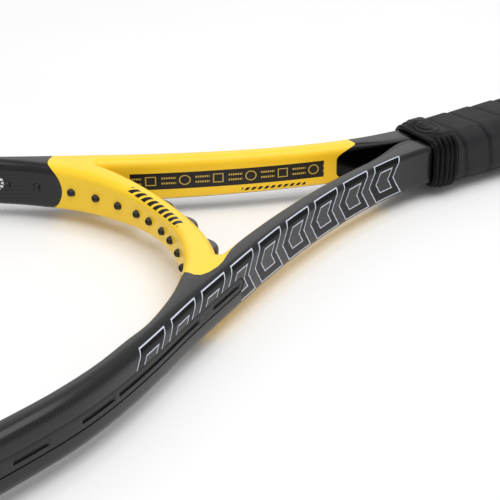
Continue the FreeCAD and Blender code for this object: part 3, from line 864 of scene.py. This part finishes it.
band_skin, shader, shade = material("grip_band")
spot, x, y, z = shade.place()
pores = shade.node("ShaderNodeTexVoronoi", inputs={"Vector": spot, "Scale": 1.1})
fine_grain = shade.noise(spot, 3.0, 4.0)
patch = shade.noise(spot, 0.08, 2.0)
turned = z.sum("ARCTAN2", z, y) * (PITCH / (2.0 * math.pi))
# painted shade: a darker line along each seam, in the crease where a turn's edge lies on the one before
painted_seam_shade = 1.0 - abs((x - SEAM_START - turned).repeat(PITCH)).soft(0.2, 2.6)
cloth = shade.mix(patch, (0.010, 0.010, 0.011, 1.0), (0.026, 0.026, 0.029, 1.0))
feed(
    shader,
    Base_Color=shade.mix(painted_seam_shade, cloth, (0.004, 0.004, 0.0045, 1.0)),
    IOR=1.30,
    Roughness=0.50 + 0.16 * fine_grain - 0.10 * patch,
    Normal=shade.bump(fine_grain * 0.5 + pores.soft(0.0, 0.35) * 0.6, 0.00012, 0.7),
)
wrap.data.materials.append(band_skin)
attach(wrap, "frame")
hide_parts("grip_wrap")

# Finishing tape: one turn of thin satin film that holds down the grip's tail under the collar.
film, shader, shade = material("tape_film")
spot = shade.place()[0]
crease = shade.noise(spot.stretch((0.3, 1.6, 1.6)), 0.7)
feed(
    shader,
    Base_Color=shade.mix(crease, (0.010, 0.010, 0.011, 1.0), (0.024, 0.024, 0.026, 1.0)),
    Roughness=0.26 + 0.25 * crease,
    Normal=shade.bump(crease, 0.0001, 0.5),
)
repaint("finishing_tape", film)

# ---------------------------------------------------------------------------
# Grip collar. A stretchy moulded rubber sleeve that slides along the shaft and is pulled back
# over the end of the grip. Its sides are ribbed, and a plain oval pad is raised on each face.

COLLAR_START, COLLAR_END, COLLAR_STEP = 184.9, 197.6, 192.0
COLLAR_REAR, COLLAR_FRONT = (16.2, 13.2, 4.8), (15.6, 11.0, 3.6)
BORE_REAR, BORE_FRONT = (15.1, 12.1, 4.3), (14.2, 9.6, 2.0)
COLLAR_STEPS, COLLAR_TURN, BORE_STEPS = 64, 120, 12
RIBS = 5


def collar_size(x, rear, front):
    """Half width, half height and bevel of the collar where it narrows on to the shaft."""
    share = float(ease(x, COLLAR_STEP - 2.0, COLLAR_END))
    return [a + (b - a) * share for a, b in zip(rear, front)]


def collar_face(column, row):
    angle = 2.0 * math.pi * column / COLLAR_TURN
    x = COLLAR_START + (COLLAR_END - COLLAR_START) * row / COLLAR_STEPS
    reach = octagon_reach(angle, *collar_size(x, COLLAR_REAR, COLLAR_FRONT), corner=18.0)
    ribbed = float(ease(abs(math.cos(angle)), 0.60, 0.78))
    place = (x - COLLAR_START) / (COLLAR_END - COLLAR_START)
    wave = 0.5 - 0.5 * math.cos(2.0 * math.pi * place * RIBS)
    groove = (0.95 - 1.35 * wave ** 0.55) * ribbed * float(ease(place, 0.03, 0.1))
    rear_lip = float(1.0 - ease(x, COLLAR_START, COLLAR_START + 0.9))
    front_lip = float(ease(x, COLLAR_END - 0.8, COLLAR_END))
    reach -= groove + 0.55 * (rear_lip + front_lip)
    return Vector((x, math.cos(angle) * reach, math.sin(angle) * reach)) * MM


def collar_bore(column, row):
    angle = 2.0 * math.pi * column / COLLAR_TURN
    x = COLLAR_START + (COLLAR_END - COLLAR_START) * row / BORE_STEPS
    share = min(max((x - COLLAR_STEP) / (COLLAR_END - COLLAR_STEP), 0.0), 1.0)
    size = [a + (b - a) * share for a, b in zip(BORE_REAR, BORE_FRONT)]
    reach = octagon_reach(angle, *size, corner=40.0) + 0.03
    return Vector((x, math.cos(angle) * reach, math.sin(angle) * reach)) * MM


bm = bmesh.new()
lay_sheet(bm, COLLAR_TURN + 1, COLLAR_STEPS + 1, collar_face)
lay_sheet(bm, COLLAR_TURN + 1, BORE_STEPS + 1, collar_bore)
bmesh.ops.remove_doubles(bm, verts=bm.verts, dist=1e-7)
ends = [e for e in bm.edges if e.is_boundary]
for x in (COLLAR_START, COLLAR_END):
    lips = [e for e in ends if abs(e.verts[0].co.x / MM - x) < 0.01]
    bmesh.ops.bridge_loops(bm, edges=lips)
collar = finish_piece("ribbed_collar", bm, 50.0)

rubber, shader, shade = material("collar_rubber")
spot, x, y, z = shade.place()
grain = shade.noise(spot, 2.6, 4.0)
bloom = shade.noise(spot, 0.15, 2.0)
oval = ((x - 191.0) / 3.9).length((y + 1.0) / 7.2)
ridge = (1.0 - abs(oval - 1.0).soft(0.0, 0.2)) * (abs(y) < 9.5)
inner_ridge = (1.0 - abs(oval - 0.5).soft(0.0, 0.18)) * (abs(y) < 9.5) * 0.6
feed(
    shader,
    Base_Color=shade.mix(bloom, (0.0015, 0.0015, 0.002, 1.0), (0.004, 0.004, 0.0045, 1.0)),
    Roughness=0.26 + 0.14 * grain + 0.06 * bloom,
    IOR=1.25,
    Normal=shade.bump(grain * 0.08 + ridge + inner_ridge, 0.0005, 0.9),
)
collar.data.materials.append(rubber)
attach(collar, "collar")
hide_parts("grip_collar")

# ---------------------------------------------------------------------------
# Butt cap and badge. A hard nylon cap over the end of the pallet, flared so that the hand can't
# slip off, with a plain glossy oval-cornered badge pressed into its flat end.

BUTT_FLARE, BUTT_NECK = (18.4, 15.6, 5.6), (16.9, 14.1, 5.2)
CAP_STATIONS = ((0.0, 0.0, 1.3), (0.25, 0.0, 0.65), (0.7, 0.0, 0.25), (1.4, 0.0, 0.0), (6.6, 0.0, 0.0),
                (8.0, 0.12, 0.0), (10.5, 0.55, 0.0), (13.0, 0.92, 0.0), (14.5, 1.0, 0.0), (23.4, 1.0, 0.0),
                (23.85, 1.0, 0.15), (24.0, 1.0, 0.4), (24.0, 1.0, 2.0))


def cap_face(column, row):
    angle = 2.0 * math.pi * column / TURN_STEPS
    x, share, inset = CAP_STATIONS[row]
    width, height, bevel = (a + (b - a) * share for a, b in zip(BUTT_FLARE, BUTT_NECK))
    reach = octagon_reach(angle, width - inset, height - inset, bevel, corner=18.0)
    return Vector((x, math.cos(angle) * reach, math.sin(angle) * reach)) * MM


bm = bmesh.new()
lay_sheet(bm, TURN_STEPS + 1, len(CAP_STATIONS), cap_face)
bmesh.ops.remove_doubles(bm, verts=bm.verts, dist=1e-7)
ends = [e for e in bm.edges if e.is_boundary and abs(e.verts[0].co.x) < 1e-7]
face = bmesh.ops.edgenet_fill(bm, edges=ends)["faces"]
bmesh.ops.inset_region(bm, faces=face, thickness=3.4 * MM, depth=0.0)
bmesh.ops.inset_region(bm, faces=face, thickness=0.25 * MM, depth=-0.9 * MM)
cap = finish_piece("flared_cap", bm, 35.0)

cap_nylon, shader, shade = material("cap_nylon")
spot = shade.place()[0]
texture = shade.noise(spot, 2.8, 5.0)
rub = shade.noise(spot, 0.2, 2.0)
feed(
    shader,
    Base_Color=shade.mix(rub, (0.012, 0.012, 0.013, 1.0), (0.022, 0.022, 0.024, 1.0)),
    Roughness=0.44 + 0.2 * texture,
    Normal=shade.bump(texture, 0.00012, 0.6),
)
cap.data.materials.append(cap_nylon)
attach(cap, "frame")
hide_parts("butt_cap")

badge_gloss, shader, shade = material("badge_gloss")
spot, x, y, z = shade.place()
swirl = shade.noise(spot, 0.6, 3.0)
line = abs((y / 8.0).length(z / 5.0) - 0.85) < 0.07
feed(
    shader,
    Base_Color=shade.mix(line, shade.mix(swirl, YELLOW_DEEP, YELLOW), (0.01, 0.01, 0.01, 1.0)),
    Roughness=0.16 + 0.14 * swirl,
    Normal=shade.bump(line, 0.0002, 0.6),
    Coat_Weight=0.5,
)
repaint("butt_cap_badge", badge_gloss)

# ---------------------------------------------------------------------------
# Studio: a pale floor under the racket, soft light from above and from the far side, and the
# camera close over the throat, looking down the shaft.

bm = bmesh.new()
bmesh.ops.create_grid(bm, x_segments=1, y_segments=1, size=6.0)
bmesh.ops.translate(bm, vec=(0.33, 0.0, -0.0158), verts=bm.verts)
floor = finish_piece("floor", bm)
pale, shader, shade = material("pale_floor")
spot = shade.place()[0]
mottle = shade.noise(spot, 0.01, 2.0)
pale_grey = shade.mix(mottle, (0.86, 0.86, 0.86, 1.0), (0.9, 0.9, 0.9, 1.0))
feed(shader, Base_Color=pale_grey, Roughness=0.8)
floor.data.materials.append(pale)

world = bpy.data.worlds.new("studio")
world.use_nodes = True
world.node_tree.nodes["Background"].inputs[0].default_value = (1.0, 1.0, 1.0, 1.0)
world.node_tree.nodes["Background"].inputs[1].default_value = 0.55
bpy.context.scene.world = world
bpy.context.scene.view_settings.view_transform = "Standard"


def softbox(name, at, target, size, power):
    lamp = bpy.data.lights.new(name, "AREA")
    lamp.shape = "RECTANGLE"
    lamp.size, lamp.size_y = size
    lamp.energy = power
    made = bpy.data.objects.new(name, lamp)
    made.location = at
    made.rotation_euler = (Vector(target) - Vector(at)).to_track_quat("-Z", "Y").to_euler()
    bpy.context.scene.collection.objects.link(made)


softbox("key_light", (0.25, 0.25, 1.3), (0.33, 0.0, 0.0), (1.5, 1.2), 15.0)
softbox("back_light", (-0.25, -1.1, 0.62), (0.33, 0.0, 0.0), (1.2, 0.5), 1.1)

# degrees, metres, and millimetres for the lens, the sensor and where on it the target falls
AZIMUTH, ELEVATION, ROLL = 152.586, 25.985, 2.4707
TARGET, DISTANCE = Vector((0.33, 0.0, 0.0)), 0.55135
SENSOR, LENS = 36.0, 98.0283
AIM_ACROSS, AIM_UP = -6.8892, 1.6821
a, e = math.radians(AZIMUTH), math.radians(ELEVATION)
away = Vector((math.sin(a) * math.cos(e), -math.cos(a) * math.cos(e), math.sin(e)))
across = (-away).cross(Vector((0.0, 0.0, 1.0))).normalized()
rise = across.cross(-away)
looking = Matrix((across, rise, away))
aim = Vector((AIM_ACROSS / LENS, AIM_UP / LENS, -1.0)).normalized()
swing = Vector((0.0, 0.0, -1.0)).rotation_difference(aim).to_matrix()
turned = swing @ Matrix.Rotation(math.radians(ROLL), 3, "Z") @ looking
camera = bpy.data.objects.new("camera", bpy.data.cameras.new("camera"))
camera.data.sensor_width = SENSOR
camera.data.lens = LENS
camera.data.clip_start = 0.01
camera.matrix_world = Matrix.Translation(TARGET + away * DISTANCE) @ turned.transposed().to_4x4()
bpy.context.scene.collection.objects.link(camera)
bpy.context.scene.camera = camera
